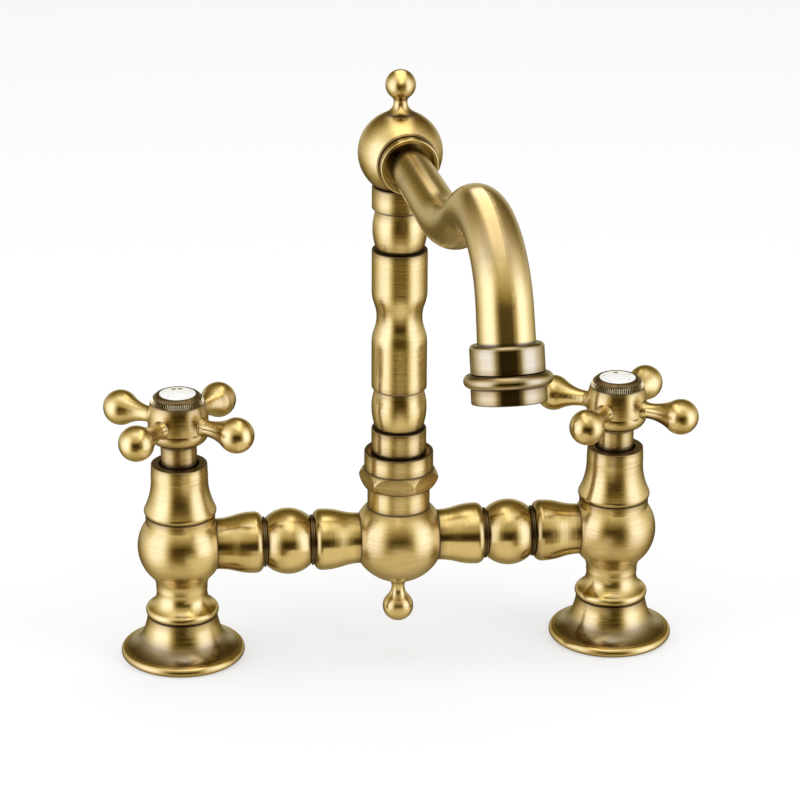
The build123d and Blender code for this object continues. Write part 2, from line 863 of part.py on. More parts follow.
def spout_place():
    """The r-z plane of the spout's centre line, turned to the spout's heading."""
    return Pos(0, 0, head_height) * Rot(0, 0, spout_heading - 90)


def tapered(path, start_radius, end_radius):
    first = Plane(path @ 0, z_dir=path % 0) * Circle(start_radius)
    last = Plane(path @ 1, z_dir=path % 1) * Circle(end_radius)
    return sweep([first, last], path=path, multisection=True)


def make_spout_tube():
    path = spout_path()
    tube = tapered(path, spout_start_radius, spout_end_radius)
    bore = tapered(path, spout_start_radius - spout_wall, spout_end_radius - spout_wall)
    return spout_place() * (tube - bore)


def outlet_frame():
    """Place whose origin is the centre of the outlet's mouth and whose +Z runs up the tube."""
    mouth = spout_points()["mouth"]
    return spout_place() * Pos(*at(mouth)) * Rot(0, spout_fall - 90, 0)


def make_outlet_collar():
    bottom = housing_height + outlet_ring_height
    top = bottom + outlet_collar_height
    inner = spout_end_radius + press_gap
    shape = turned(
        (outlet_thread_radius + press_gap, bottom),
        (outlet_collar_radius - edge_chamfer, bottom),
        (outlet_collar_radius, bottom + edge_chamfer),
        (outlet_collar_radius, top - outlet_collar_round),
        (outlet_collar_radius - outlet_collar_round, top, quarter(outlet_collar_round)),
        (inner, top),
        (inner, tube_end),
        (outlet_thread_radius + press_gap, tube_end),
    )
    return outlet_frame() * shape


def make_outlet_ring():
    top = housing_height + outlet_ring_height
    inner = outlet_thread_radius + press_gap
    edge = outlet_ring_radius - outlet_ring_height / 2
    shape = turned(
        (inner, housing_height),
        (edge, housing_height),
        (edge, top, outlet_ring_height / 2),
        (inner, top),
    )
    return outlet_frame() * shape


def make_aerator_housing():
    inner = housing_radius - housing_wall
    shape = turned(
        (inner - aerator_lip, 0),
        (housing_radius - edge_round, 0),
        (housing_radius, edge_round, quarter(edge_round)),
        (housing_radius, housing_height),
        (outlet_thread_radius, housing_height),
        (outlet_thread_radius, housing_thread_top),
        (inner, housing_thread_top),
        (inner, insert_start - screen_thickness),
        (inner - aerator_lip, insert_start - screen_thickness),
    )
    return outlet_frame() * shape


def insert_radius():
    return housing_radius - housing_wall - press_gap


def make_aerator_screen():
    bottom = insert_start - screen_thickness
    holes = Circle(screen_hole_radius)
    for ring in range(1, screen_rings + 1):
        spots = PolarLocations(screen_hole_pitch * ring, screen_ring_step * ring)
        holes += spots * Circle(screen_hole_radius)
    shape = extrude(Circle(insert_radius()) - holes, screen_thickness)
    return outlet_frame() * Pos(0, 0, bottom) * shape


def make_aerator_insert():
    outer = insert_radius()
    shape = pipe(outer, outer - insert_wall, insert_start, housing_thread_top)
    shape += rod(insert_post_radius, insert_start, housing_thread_top)
    rib = Box(2 * outer - insert_wall, insert_rib_width, housing_thread_top - insert_start)
    for number in range(insert_rib_count):
        angle = 180 / insert_rib_count * number
        shape += Pos(0, 0, (insert_start + housing_thread_top) / 2) * Rot(0, 0, angle) * rib
    return outlet_frame() * shape


def make_aerator_washer():
    shape = pipe(outlet_thread_radius, aerator_washer_inner, housing_thread_top, tube_end)
    return outlet_frame() * shape


def pillar_pieces(side, heading):
    pieces = {
        "flange": make_flange(),
        "foot_seal": make_foot_seal(),
        "pillar": make_pillar(side),
        "seat_seal": make_seat_seal(),
        "cartridge": make_cartridge(),
        "fixed_disc": make_fixed_disc(),
        "moving_disc": make_moving_disc(),
        "spindle": make_spindle(),
        "shroud": make_shroud(),
        "handle_sleeve": make_handle_sleeve(),
        "handle_hub": make_hub(heading),
        "handle_screw": make_handle_screw(),
        "index_ring": make_index_ring(),
        "index_disc": make_index_disc(),
    }
    for number, angle in enumerate(arm_angles(heading), start=1):
        pieces[f"handle_arm_{number}"] = make_arm(angle)
    return pieces


def middle_pieces():
    arm = make_bridge_arm()
    return {
        "cold_bridge_arm": arm,
        "hot_bridge_arm": Rot(0, 0, 180) * arm,
        "centre_ball": make_centre_ball(),
        "bottom_finial": make_bottom_finial(),
        "swivel_nut": make_swivel_nut(),
        "swivel_washer": make_swivel_washer(),
    }


def spout_pieces():
    return {
        "swivel_orings": make_swivel_orings(),
        "column_tube": make_column_tube(),
        "lower_ferrule": make_ferrule(ferrule_base, bead_base),
        "lower_bead": make_bead(bead_base, sleeve_base, column_radius),
        "column_sleeve": make_column_sleeve(),
        "upper_bead": make_bead(upper_bead_base, upper_ferrule_base, column_radius - upper_bead_inset),
        "upper_ferrule": make_ferrule(upper_ferrule_base, head_height - head_seat),
        "head_ball": make_head_ball(),
        "top_finial": make_top_finial(),
        "spout_collar": make_spout_collar(),
        "spout_tube": make_spout_tube(),
        "outlet_collar": make_outlet_collar(),
        "outlet_ring": make_outlet_ring(),
        "aerator_housing": make_aerator_housing(),
        "aerator_insert": make_aerator_insert(),
        "aerator_screen": make_aerator_screen(),
        "aerator_washer": make_aerator_washer(),
    }


def main():
    os.makedirs("parts", exist_ok=True)
    nodes = middle_pieces() | spout_pieces()
    for name, side, heading in (("hot", -1, hot_handle_heading), ("cold", 1, cold_handle_heading)):
        for piece, shape in pillar_pieces(side, heading).items():
            nodes[f"{name}_{piece}"] = Pos(side * pillar_x, 0, 0) * shape
    for name, shape in nodes.items():
        export_step(shape, f"parts/{name}.step")
    print(len(nodes), "nodes")


main()
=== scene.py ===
import json
import math

import bmesh
import bpy
from mathutils import Matrix, Vector

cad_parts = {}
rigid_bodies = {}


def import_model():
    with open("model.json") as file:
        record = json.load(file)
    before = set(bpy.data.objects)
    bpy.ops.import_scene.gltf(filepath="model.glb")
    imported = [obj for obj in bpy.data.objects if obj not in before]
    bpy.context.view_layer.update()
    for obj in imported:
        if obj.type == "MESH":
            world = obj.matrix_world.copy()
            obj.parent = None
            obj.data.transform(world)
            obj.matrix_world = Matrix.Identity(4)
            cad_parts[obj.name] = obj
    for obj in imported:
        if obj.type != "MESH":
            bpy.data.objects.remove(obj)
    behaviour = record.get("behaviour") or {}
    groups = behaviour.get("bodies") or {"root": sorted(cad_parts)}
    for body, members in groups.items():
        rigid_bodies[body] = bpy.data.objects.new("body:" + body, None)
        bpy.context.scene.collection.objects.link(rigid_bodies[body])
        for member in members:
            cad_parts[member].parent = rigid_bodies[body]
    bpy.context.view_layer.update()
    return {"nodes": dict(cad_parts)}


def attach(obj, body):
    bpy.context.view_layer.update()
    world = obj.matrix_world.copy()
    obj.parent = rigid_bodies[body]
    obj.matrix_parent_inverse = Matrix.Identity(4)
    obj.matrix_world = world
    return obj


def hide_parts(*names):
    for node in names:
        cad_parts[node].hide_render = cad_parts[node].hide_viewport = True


for leftover in list(bpy.data.objects):  # start from an empty room
    bpy.data.objects.remove(leftover)

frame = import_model()
cadNodes = frame["nodes"]
mm = 0.001
print("frame loaded,", len(cadNodes), "nodes")


class Wire:
    # one value of a node tree, so that shader maths reads as Python
    def __init__(self, sheet, socket):
        self.sheet = sheet
        self.socket = socket

    def other(self, name):
        return Wire(self.sheet, self.socket.node.outputs[name])

    def __add__(self, value):
        return self.sheet.maths("ADD", self, value)

    def __sub__(self, value):
        return self.sheet.maths("SUBTRACT", self, value)

    def __rsub__(self, value):
        return self.sheet.maths("SUBTRACT", value, self)

    def __mul__(self, value):
        return self.sheet.maths("MULTIPLY", self, value)

    def __truediv__(self, value):
        return self.sheet.maths("DIVIDE", self, value)

    def __abs__(self):
        return self.sheet.maths("ABSOLUTE", self)

    __radd__ = __add__


class NodeSheet:
    # one node tree, emptied, with a single way to add a node
    def __init__(self, tree):
        self.tree = tree
        tree.nodes.clear()

    def node(self, kind, settings=None, sockets=None, output=0):
        made = self.tree.nodes.new(kind)
        for key, value in (settings or {}).items():
            if key == "stops":
                self.setStops(made.color_ramp, value)
            else:
                setattr(made, key, value)
        for key, value in (sockets or {}).items():
            self.feed(made.inputs[key], value)
        return Wire(self, made.outputs[output]) if made.outputs else made

    def feed(self, socket, value):
        if isinstance(value, Wire):
            self.tree.links.new(value.socket, socket)
        elif socket.type == "RGBA" and len(value) == 3:
            socket.default_value = (*value, 1)
        else:
            socket.default_value = value

    def setStops(self, ramp, stops):
        while len(ramp.elements) < len(stops):
            ramp.elements.new(0.5)
        for element, (place, colour) in zip(ramp.elements, stops):
            element.position = place
            element.color = (*colour, 1)

    def maths(self, operation, *values):
        return self.node("ShaderNodeMath", {"operation": operation}, dict(enumerate(values)))

    def vector(self, operation, first, second, output=0):
        return self.node("ShaderNodeVectorMath", {"operation": operation}, {0: first, 1: second}, output)

    def dot(self, first, second):
        return self.vector("DOT_PRODUCT", first, second, "Value")

    def blend(self, share, first, second, kind="MIX"):
        return self.node("ShaderNodeMix", {"data_type": "RGBA", "blend_type": kind},
                         {0: share, 6: first, 7: second}, 2)

    def fade(self, value, start, end, low=0.0, high=1.0):
        # smooth step from low to high while value goes from start to end
        return self.node("ShaderNodeMapRange", {"interpolation_type": "SMOOTHSTEP"},
                         {"Value": value, "From Min": start, "From Max": end, "To Min": low, "To Max": high})

    def noise(self, place, scale, detail=2.0, roughness=0.5, distortion=0.0):
        return self.node("ShaderNodeTexNoise", None, {"Vector": place, "Scale": scale, "Detail": detail,
                                                      "Roughness": roughness, "Distortion": distortion})

    def bump(self, strength, distance, height):
        return self.node("ShaderNodeBump", None, {
            "Strength": strength, "Distance": distance, "Height": height})

    def point(self, x=0.0, y=0.0, z=0.0):
        return self.node("ShaderNodeCombineXYZ", None, {0: x, 1: y, 2: z})

    def aroundUpright(self, place, centre):
        # the place counted from this centre, the same without its height, and how far out that is
        local = self.vector("SUBTRACT", place, centre)
        flat = self.vector("MULTIPLY", local, (1, 1, 0))
        return local, flat, self.vector("LENGTH", flat, (0, 0, 0), "Value")


# ---- camera, as the photograph was taken
cameraLook = {
    "azimuth": -6.711,       # degrees, minus is to the object's left
    "elevation": 23.738,
    "roll": 0.299,
    "distance": 1.53414,
    "aimHeight": 0.054,      # the bridge's axis
    "aimX": 398.3,           # where that point is in the frame
    "aimY": 536.0,
    "focalPixels": 3332.7,
    "frameSize": 800,
    "sensorWidth": 36,       # mm
    "clipEnd": 50,           # metres
}


def makeCamera(look):
    azimuth, elevation, roll = (math.radians(look[k]) for k in ("azimuth", "elevation", "roll"))
    back = Vector((math.sin(azimuth) * math.cos(elevation),
                   -math.cos(azimuth) * math.cos(elevation), math.sin(elevation)))
    right = (-back).cross(Vector((0, 0, 1))).normalized()
    up = right.cross(-back)
    rolledRight = math.cos(roll) * right + math.sin(roll) * up
    rolledUp = -math.sin(roll) * right + math.cos(roll) * up
    place = Vector((0, 0, look["aimHeight"])) + back * look["distance"]
    data = bpy.data.cameras.new("photoCamera")
    data.sensor_width = look["sensorWidth"]
    data.lens = look["focalPixels"] / look["frameSize"] * look["sensorWidth"]
    data.shift_x = (look["frameSize"] / 2 - look["aimX"]) / look["frameSize"]
    data.shift_y = (look["aimY"] - look["frameSize"] / 2) / look["frameSize"]
    data.clip_end = look["clipEnd"]
    camera = bpy.data.objects.new("photoCamera", data)
    camera.matrix_world = Matrix.Translation(place) @ Matrix(
        (rolledRight, rolledUp, back)).transposed().to_4x4()
    bpy.context.scene.collection.objects.link(camera)
    bpy.context.scene.camera = camera


makeCamera(cameraLook)
bpy.context.scene.view_settings.view_transform = "Standard"
print("camera placed")


# ---- studio: pale floor, white room, softboxes, and a light tent that only metal sees
studioLook = {
    "floorSize": 6.0,
    "floorTone": (0.79, 0.79, 0.79),
    "floorGlow": 0.50,        # share of the floor that the camera sees as plain white
    "floorDrop": 0.0001,      # metres below the feet, so that floor and feet share no face
    "floorGrain": 220.0,
    "floorRelief": (0.05, 0.0002),
    "roomWhite": (0.985, 0.985, 0.985),
    "roomFill": 0.86,         # what the room gives to matt surfaces
    "lampAim": (0, 0, 0.12),
    "lamps": [
        # name, degrees from the camera, elevation, distance, width, height, watts
        ("softboxLeft", -70, 24, 1.5, 0.9, 0.8, 8.5),
        ("softboxRight", 70, 24, 1.5, 0.9, 0.8, 8.5),
        ("softboxTop", 170, 74, 1.6, 1.1, 1.1, 7.0),
    ],
}
cardLook = [
    # name, middle and size in mm, strength, share of the half width that is even, tint
    ("overheadCard", (6, -50, 360), (136, 540), 2.6, 0.35, (1.0, 0.98, 0.90)),
    ("sheetCard", (0, -165, -0.5), (180, 360), 1.1, 0.6, (1.0, 0.96, 0.86)),
]
tentLook = {
    "radius": 2.2,
    "segments": (48, 24),
    "behindFrom": 72,         # degrees away from the camera where the back's light takes over
    # degrees above the horizon and the light's level there: in front, at the sides and behind
    "front": [(-90, 0.45), (-60, 0.74), (-33, 0.80), (-26, 0.18), (-12, 0.18), (-4, 0.05), (4, 0.01),
              (14, 0.01), (20, 0.12), (28, 0.42), (38, 0.72), (50, 0.80), (60, 1.10), (70, 1.75),
              (90, 2.00)],
    "side": [(-90, 0.30), (-75, 0.46), (-50, 0.76), (-38, 1.15), (-28, 1.60), (-18, 2.10), (10, 2.35),
             (25, 2.25), (38, 1.70), (50, 1.30), (60, 1.25), (72, 1.60), (90, 2.00)],
    "back": [(-90, 0.25), (-50, 0.36), (-28, 0.10), (-16, 0.12), (-4, 0.50), (6, 0.58), (15, 0.36),
             (26, 0.12), (46, 0.22), (60, 0.38), (74, 0.70), (90, 1.60)],
    # degrees from the camera, minus is left: how much of the side's light is there
    "sideShare": [(-150, 0.0), (-130, 0.08), (-112, 0.28), (-96, 0.58), (-84, 0.86), (-74, 1.0),
                  (-52, 1.0), (-43, 0.80), (-31, 0.20), (-20, 0.0), (26, 0.0), (37, 0.12), (48, 0.72),
                  (58, 1.0), (76, 1.0), (90, 0.66), (102, 0.40), (122, 0.10), (142, 0.0)],
    # the level and the light's colour: brown in the dark parts, cool in the bright ones
    "tints": [(0.0, (0.03, 0.018, 0.004)), (0.20, (0.24, 0.178, 0.060)), (0.46, (0.52, 0.46, 0.24)),
              (0.80, (0.86, 0.81, 0.66)), (1.36, (1.34, 1.36, 1.36)), (1.95, (1.80, 1.97, 2.70)),
              (2.50, (2.24, 2.52, 3.90))],
}


def fromCamera(degrees):
    # heading in the plan, counted from the camera's own
    return math.radians(-90 + cameraLook["azimuth"] + degrees)


def newMaterial(name):
    material = bpy.data.materials.new(name)
    material.use_nodes = True
    return material, NodeSheet(material.node_tree)


def meshObject(name, points, faces):
    mesh = bpy.data.meshes.new(name)
    mesh.from_pydata(points, [], faces)
    made = bpy.data.objects.new(name, mesh)
    bpy.context.scene.collection.objects.link(made)
    return made


def flatSheet(name, halfWidth, halfDepth):
    corners = [(-halfWidth, -halfDepth, 0), (halfWidth, -halfDepth, 0), (halfWidth, halfDepth, 0),
               (-halfWidth, halfDepth, 0)]
    return meshObject(name, corners, [(0, 1, 2, 3)])


def seenDirectly(sheet):
    # 1 for the camera's own rays and for mirrored or clear ones, 0 for light that matt surfaces gather
    ray = sheet.node("ShaderNodeLightPath")
    return ray.other("Is Camera Ray") + ray.other("Is Glossy Ray") + ray.other("Is Transmission Ray")


def makeFloor(look):
    half = look["floorSize"] / 2
    floor = flatSheet("paleFloor", half, half)
    floor.location.z = -look["floorDrop"]
    floor.visible_glossy = False
    material, sheet = newMaterial("paleFloorPaint")
    place = sheet.node("ShaderNodeTexCoord").other("Object")
    grain = sheet.noise(place, look["floorGrain"], 3.0)
    matt = sheet.node("ShaderNodeBsdfDiffuse", None, {
        "Color": look["floorTone"], "Normal": sheet.bump(*look["floorRelief"], grain)})
    plain = sheet.node("ShaderNodeEmission", None, {"Color": (1.0, 1.0, 1.0), "Strength": 1.0})
    surface = sheet.node("ShaderNodeMixShader", None, {
        0: seenDirectly(sheet) * look["floorGlow"], 1: matt, 2: plain})
    sheet.node("ShaderNodeOutputMaterial", None, {"Surface": surface})
    floor.data.materials.append(material)


def makeRoom(look):
    world = bpy.data.worlds.new("whiteRoom")
    bpy.context.scene.world = world
    world.use_nodes = True
    world.cycles.sampling_method = "NONE"
    sheet = NodeSheet(world.node_tree)
    fill = sheet.node("ShaderNodeBackground", None, {"Color": (1.0, 1.0, 1.0), "Strength": look["roomFill"]})
    white = sheet.node("ShaderNodeBackground", None, {"Color": look["roomWhite"], "Strength": 1.0})
    surface = sheet.node("ShaderNodeMixShader", None, {0: seenDirectly(sheet), 1: fill, 2: white})
    sheet.node("ShaderNodeOutputWorld", None, {"Surface": surface})


def makeLamp(name, degrees, elevation, distance, width, height, watts):
    data = bpy.data.lights.new(name, "AREA")
    data.shape = "RECTANGLE"
    data.size = width
    data.size_y = height
    data.energy = watts
    lamp = bpy.data.objects.new(name, data)
    heading, rise = fromCamera(degrees), math.radians(elevation)
    way = Vector((math.cos(heading) * math.cos(rise), math.sin(heading) * math.cos(rise), math.sin(rise)))
    lamp.location = Vector(studioLook["lampAim"]) + way * distance
    lamp.rotation_euler = (-way).to_track_quat("-Z", "Y").to_euler()
    lamp.visible_glossy = False  # metal sees the tent instead
    bpy.context.scene.collection.objects.link(lamp)


def makeTent(look):
    # one big ball round everything; only reflections see it, so it lights nothing and throws no shadow
    mesh = bpy.data.meshes.new("lightTent")
    shape = bmesh.new()
    around, upwards = look["segments"]
    bmesh.ops.create_uvsphere(shape, u_segments=around, v_segments=upwards, radius=look["radius"])
    shape.to_mesh(mesh)
    shape.free()
    tent = bpy.data.objects.new("lightTent", mesh)
    bpy.context.scene.collection.objects.link(tent)
    material, sheet = newMaterial("lightTentCloth")
    place = sheet.vector("NORMALIZE", sheet.node("ShaderNodeTexCoord").other("Object"), (0, 0, 0))
    ahead, aside = fromCamera(0), fromCamera(90)
    rise = sheet.maths("ARCSINE", sheet.dot(place, (0, 0, 1))) / math.pi + 0.5
    turn = sheet.maths("ARCTAN2", sheet.dot(place, (math.cos(aside), math.sin(aside), 0)),
                       sheet.dot(place, (math.cos(ahead), math.sin(ahead), 0))) / (2 * math.pi) + 0.5

    def level(name, value, span):
        stops = [(degrees / span + 0.5, (tone, tone, tone)) for degrees, tone in look[name]]
        return sheet.node("ShaderNodeValToRGB", {"stops": stops}, {0: value})

    behind = sheet.maths("GREATER_THAN", abs(turn - 0.5), look["behindFrom"] / 360)
    plain = sheet.blend(behind, level("front", rise, 180), level("back", rise, 180))
    light = sheet.blend(level("sideShare", turn, 360), plain, level("side", rise, 180))
    top = look["tints"][-1][0]
    tone = sheet.node("ShaderNodeValToRGB", {"stops": [(step / top, tint) for step, tint in look["tints"]]},
                      {0: light / top})
    glow = sheet.node("ShaderNodeEmission", None, {"Color": tone, "Strength": 1.0})
    sheet.node("ShaderNodeOutputMaterial", None, {"Surface": glow})
    showToMetal(tent, material)


def makeCard(name, middle, size, strength, evenShare, tint):
    # a flat card over or under the object, softer towards its edges
    half = (size[0] * mm / 2, size[1] * mm / 2)
    card = flatSheet(name, *half)
    card.location = [value * mm for value in middle]
    material, sheet = newMaterial(name + "Cloth")
    place = sheet.node("ShaderNodeTexCoord").other("Object")
    edge = None
    for way, reach in (((1, 0, 0), half[0]), ((0, 1, 0), half[1])):
        soft = sheet.fade(abs(sheet.dot(place, way)), reach * evenShare, reach, 1.0, 0.0)
        edge = soft if edge is None else edge * soft
    glow = sheet.node("ShaderNodeEmission", None, {"Color": tint, "Strength": strength})
    clear = sheet.node("ShaderNodeBsdfTransparent")
    surface = sheet.node("ShaderNodeMixShader", None, {0: edge, 1: clear, 2: glow})
    sheet.node("ShaderNodeOutputMaterial", None, {"Surface": surface})
    showToMetal(card, material)


def showToMetal(card, material):
    # only reflections see a card, so it lights nothing and throws no shadow
    material.cycles.emission_sampling = "NONE"
    card.data.materials.append(material)
    card.visible_camera = False
    card.visible_diffuse = False
    card.visible_shadow = False


makeFloor(studioLook)
makeRoom(studioLook)
for lampSettings in studioLook["lamps"]:
    makeLamp(*lampSettings)
makeTent(tentLook)
for cardSettings in cardLook:
    makeCard(*cardSettings)
print("studio built")


# ---- finishes
brassTones = {
    "brass": (0.575, 0.415, 0.135),
    "grey": (0.385, 0.305, 0.155),   # the outlet's plainer metal
    "pale": (0.66, 0.50, 0.20),
    "patina": (0.40, 0.262, 0.072),
    # the brown round the seams: painted shade with patina
    "shadeAndPatinaHalo": (0.20, 0.118, 0.036),
    # brown for the painted dark reflection on the flange's flat
    "flatDarkReflection": (0.125, 0.078, 0.026),
    "seam": (0.035, 0.021, 0.009),
}


def finishStart(name, constants):
    # a material with one Principled shader, its constant values set, and the point in Object coordinates
    material, sheet = newMaterial(name)
    shader = sheet.node("ShaderNodeBsdfPrincipled", None, constants)
    sheet.node("ShaderNodeOutputMaterial", None, {"Surface": shader})
    place = sheet.node("ShaderNodeTexCoord").other("Object")
    return material, sheet, shader.socket.node, place


def crossways(axis):
    # two directions square to the axis
    side = axis.cross(Vector((0, 0, 1)) if abs(axis.z) < 0.9 else Vector((1, 0, 0))).normalized()
    return side, axis.cross(side)


def turnedBrush(sheet, place, brush):
    # lines round a turned piece: how far along its axis, and a stretched place for the line noise
    axis = Vector(brush["axis"]).normalized()
    side, rise = crossways(axis)
    local = sheet.vector("SUBTRACT", place, brush["centre"])
    along = sheet.dot(local, axis)
    stretched = sheet.point(sheet.dot(local, side) * brush["coarse"],
                            sheet.dot(local, rise) * brush["coarse"], along * brush["fine"])
    if brush.get("mirrored"):
        along = abs(along)
    return along, stretched


def hairlines(sheet, stretched, look):
    # scratches finer than a pixel: they spread reflections across the brushing and leave them sharp along it
    closer = sheet.vector("MULTIPLY", stretched, look["hairScale"])
    return sheet.bump(1.0, look["hairDepth"], sheet.noise(closer, 1.0, 1.0, 0.5))


def seamShade(sheet, along, seams, spread=1.0):
    # dark lines at these places along the axis: place and half-width in mm, and strength
    shade = None
    for place, width, strength in seams:
        line = sheet.fade(abs(along - place * mm), 0.0, width * spread * mm, strength, 0.0)
        shade = line if shade is None else sheet.maths("MAXIMUM", shade, line)
    return shade


brassLook = {
    "tone": "brass",
    "cloudScale": 26.0,
    "spotScale": 150.0,
    "roughness": 0.15,
    "patinaShare": 0.42,
    "wornMix": (0.72, 0.06, 0.22),   # what clouds, spots and lines say about where patina is worn off
    "wornFade": (0.18, 0.15),        # how far below and above patinaShare that goes from none to all
    "paleFade": (0.5, 0.75),
    "paleShare": 0.25,
    "flatDarkReflectionShare": (1.15, 0.25),      # the painted dark reflection on a flat, and how much less of it where worn
    "rougher": (0.06, 0.04, 0.25),   # what patina, lines and seams add to the roughness
    "hairScale": (1.0, 1.0, 4.5),
    "hairDepth": 0.00005,
    "shadeAndPatinaSpread": 4.6,               # how much wider the painted shade and patina round a seam is than its dark line
    "shadeAndPatinaShare": 0.66,
    "shadeAndPatinaUneven": 0.6,
    "coat": 0.85,
}


def brassFinish(along, stretched, sheetParts, seams, look, flatReflectionMask=None):
    # antique brass: fine brushed lines, clouds of patina, and a brown band round the seams that is painted
    # shade with patina
    material, sheet, shader, place = sheetParts
    cloud = sheet.noise(place, look["cloudScale"], 3.0, 0.55, 0.4)
    spots = sheet.noise(place, look["spotScale"], 2.0)
    lines = sheet.noise(stretched, 1.0, 3.0, 0.65)
    cloudPart, spotPart, linePart = look["wornMix"]
    below, above = look["wornFade"]
    worn = sheet.fade(cloud * cloudPart + spots * spotPart + lines * linePart, look["patinaShare"] - below,
                      look["patinaShare"] + above)
    # painted shade with patina: a brown band round each seam, uneven with the clouds
    shadeAndPatinaStrength = look["shadeAndPatinaShare"] + look["shadeAndPatinaUneven"] / 2 - cloud * look["shadeAndPatinaUneven"]
    shadeAndPatinaHalo = seamShade(sheet, along, seams, look["shadeAndPatinaSpread"]) * shadeAndPatinaStrength
    shade = seamShade(sheet, along, seams)
    colour = sheet.blend(worn, brassTones["patina"], brassTones[look["tone"]])
    pale = sheet.fade(lines, *look["paleFade"]) * worn * look["paleShare"]
    colour = sheet.blend(pale, colour, brassTones["pale"])
    colour = sheet.blend(shadeAndPatinaHalo, colour, brassTones["shadeAndPatinaHalo"])
    if flatReflectionMask:
        # painted dark reflection on the flange's flat
        full, less = look["flatDarkReflectionShare"]
        colour = sheet.blend(flatReflectionMask * (full - worn * less), colour, brassTones["flatDarkReflection"])
    colour = sheet.blend(shade, colour, brassTones["seam"])
    sheet.feed(shader.inputs["Base Color"], colour)
    patinaRough, lineRough, seamRough = look["rougher"]
    sheet.feed(shader.inputs["Roughness"],
               look["roughness"] + (1 - worn) * patinaRough + lines * lineRough + shade * seamRough)
    sheet.feed(shader.inputs["Coat Weight"], (1 - sheet.maths("MAXIMUM", shade, shadeAndPatinaHalo)) * look["coat"])
    sheet.feed(shader.inputs["Normal"], hairlines(sheet, stretched, look))
    return material


def turnedBrass(name, brush, seams, **changes):
    look = {**brassLook, **changes}
    sheetParts = finishStart(name, {"Metallic": 1.0, "Coat Roughness": 0.18, "Coat IOR": 1.6})
    sheet, place = sheetParts[1], sheetParts[3]
    along, stretched = turnedBrush(sheet, place, brush)
    flatReflectionMask = None
    if "flatDarkReflection" in look:
        # painted dark reflection, in brown, on the flat between these distances from the axis
        starts, full, fades, ends, share = look["flatDarkReflection"]
        reach = sheet.aroundUpright(place, brush["centre"])[2]
        flatReflectionMask = (sheet.fade(reach, starts * mm, full * mm)
                  * sheet.fade(reach, fades * mm, ends * mm, share, 0.0))
    return brassFinish(along, stretched, sheetParts, seams, look, flatReflectionMask)


def dress(nodeNames, material):
    for nodeName in nodeNames:
        for slot in cadNodes[nodeName].material_slots:
            slot.material = material


def brushRound(axis, centre, coarse=55.0):
    # brushing round this axis: line noise is coarse round the piece and fine along it
    return {"axis": axis, "centre": centre, "coarse": coarse, "fine": 1500.0}


def upright(x=0.0):
    return brushRound((0, 0, 1), (x, 0, 0))


def brassName(part):
    return part.title().replace("_", "") + "Brass"


# ---- pillars and handles; heights of the dark seams in mm above the deck
pillarX = 0.1  # metres, half of the distance between the inlets
sides = {"hot": -pillarX, "cold": pillarX}
pillarSeams = {
    "flange": [(0.0, 0.8, 0.8), (20.2, 1.1, 0.95)],
    "pillar": [(20.2, 0.8, 0.9), (70.0, 0.9, 0.95)],
    "shroud": [(70.0, 0.8, 0.95), (94.8, 0.6, 0.7)],
    "handle_sleeve": [(94.8, 2.6, 0.85), (104.4, 1.6, 0.8)],
    "handle_hub": [(104.4, 1.6, 0.8), (124.6, 0.8, 0.85)],
}
pillarChanges = {
    # the flange's flat gets a painted dark reflection
    "flange": {"patinaShare": 0.46, "flatDarkReflection": (16.8, 19.8, 25.2, 26.2, 0.88)},
    "handle_sleeve": {"patinaShare": 0.50},
    "handle_hub": {"patinaShare": 0.46},
}
for part, seams in pillarSeams.items():
    for side, x in sides.items():
        dress([side + "_" + part],
              turnedBrass(side + brassName(part), upright(x), seams, **pillarChanges.get(part, {})))

armLook = {"count": 4, "height": 115 * mm, "headings": {"hot": 51.5, "cold": 55.5},
           "seams": [(12.6, 0.7, 0.8)], "coarse": 70.0}
for side, x in sides.items():
    for number in range(armLook["count"]):
        heading = math.radians(armLook["headings"][side] + 360 / armLook["count"] * number)
        armBrush = brushRound((math.cos(heading), math.sin(heading), 0), (x, 0, armLook["height"]),
                              armLook["coarse"])
        dress([f"{side}_handle_arm_{number + 1}"],
              turnedBrass(f"{side}Arm{number + 1}Brass", armBrush, armLook["seams"], patinaShare=0.40))


# ---- bridge and middle
bridgeLook = {"height": 54 * mm,
              "seams": [(17.9, 0.9, 0.9), (39.95, 1.2, 0.95), (61.85, 1.2, 0.95), (83.95, 0.9, 0.9)]}
bridgeBrush = {**brushRound((1, 0, 0), (0, 0, bridgeLook["height"])), "mirrored": True}
dress(["hot_bridge_arm", "cold_bridge_arm"], turnedBrass("bridgeBrass", bridgeBrush, bridgeLook["seams"],
                                                         patinaShare=0.37, hairDepth=0.000035))

middleSeams = {
    "centre_ball": [(33.2, 0.9, 0.9), (69.9, 0.8, 0.9), (80.3, 0.8, 0.9)],
    "bottom_finial": [(33.2, 0.9, 0.85)],
    "swivel_nut": [(80.3, 0.9, 0.9), (88.5, 0.9, 0.8), (97.0, 0.8, 0.7)],
    "lower_ferrule": [(97.0, 1.5, 0.85), (108.5, 1.0, 0.95)],
    "lower_bead": [(108.5, 1.2, 0.95), (127.6, 1.2, 0.95)],
    "column_sleeve": [(127.6, 0.8, 0.95), (193.3, 0.8, 0.95)],
    "upper_bead": [(193.3, 1.2, 0.95), (212.2, 1.2, 0.95)],
    "upper_ferrule": [(212.2, 1.0, 0.95), (223.0, 1.6, 0.85)],
    "head_ball": [(223.4, 1.6, 0.8), (255.6, 1.0, 0.8)],
    "top_finial": [(255.7, 0.9, 0.85)],
}
middleChanges = {"lower_ferrule": {"patinaShare": 0.45}, "swivel_nut": {"patinaShare": 0.45},
                 "centre_ball": {"roughness": 0.18}, "head_ball": {"roughness": 0.18}}
for part, seams in middleSeams.items():
    dress([part], turnedBrass(brassName(part), upright(), seams, **middleChanges.get(part, {})))


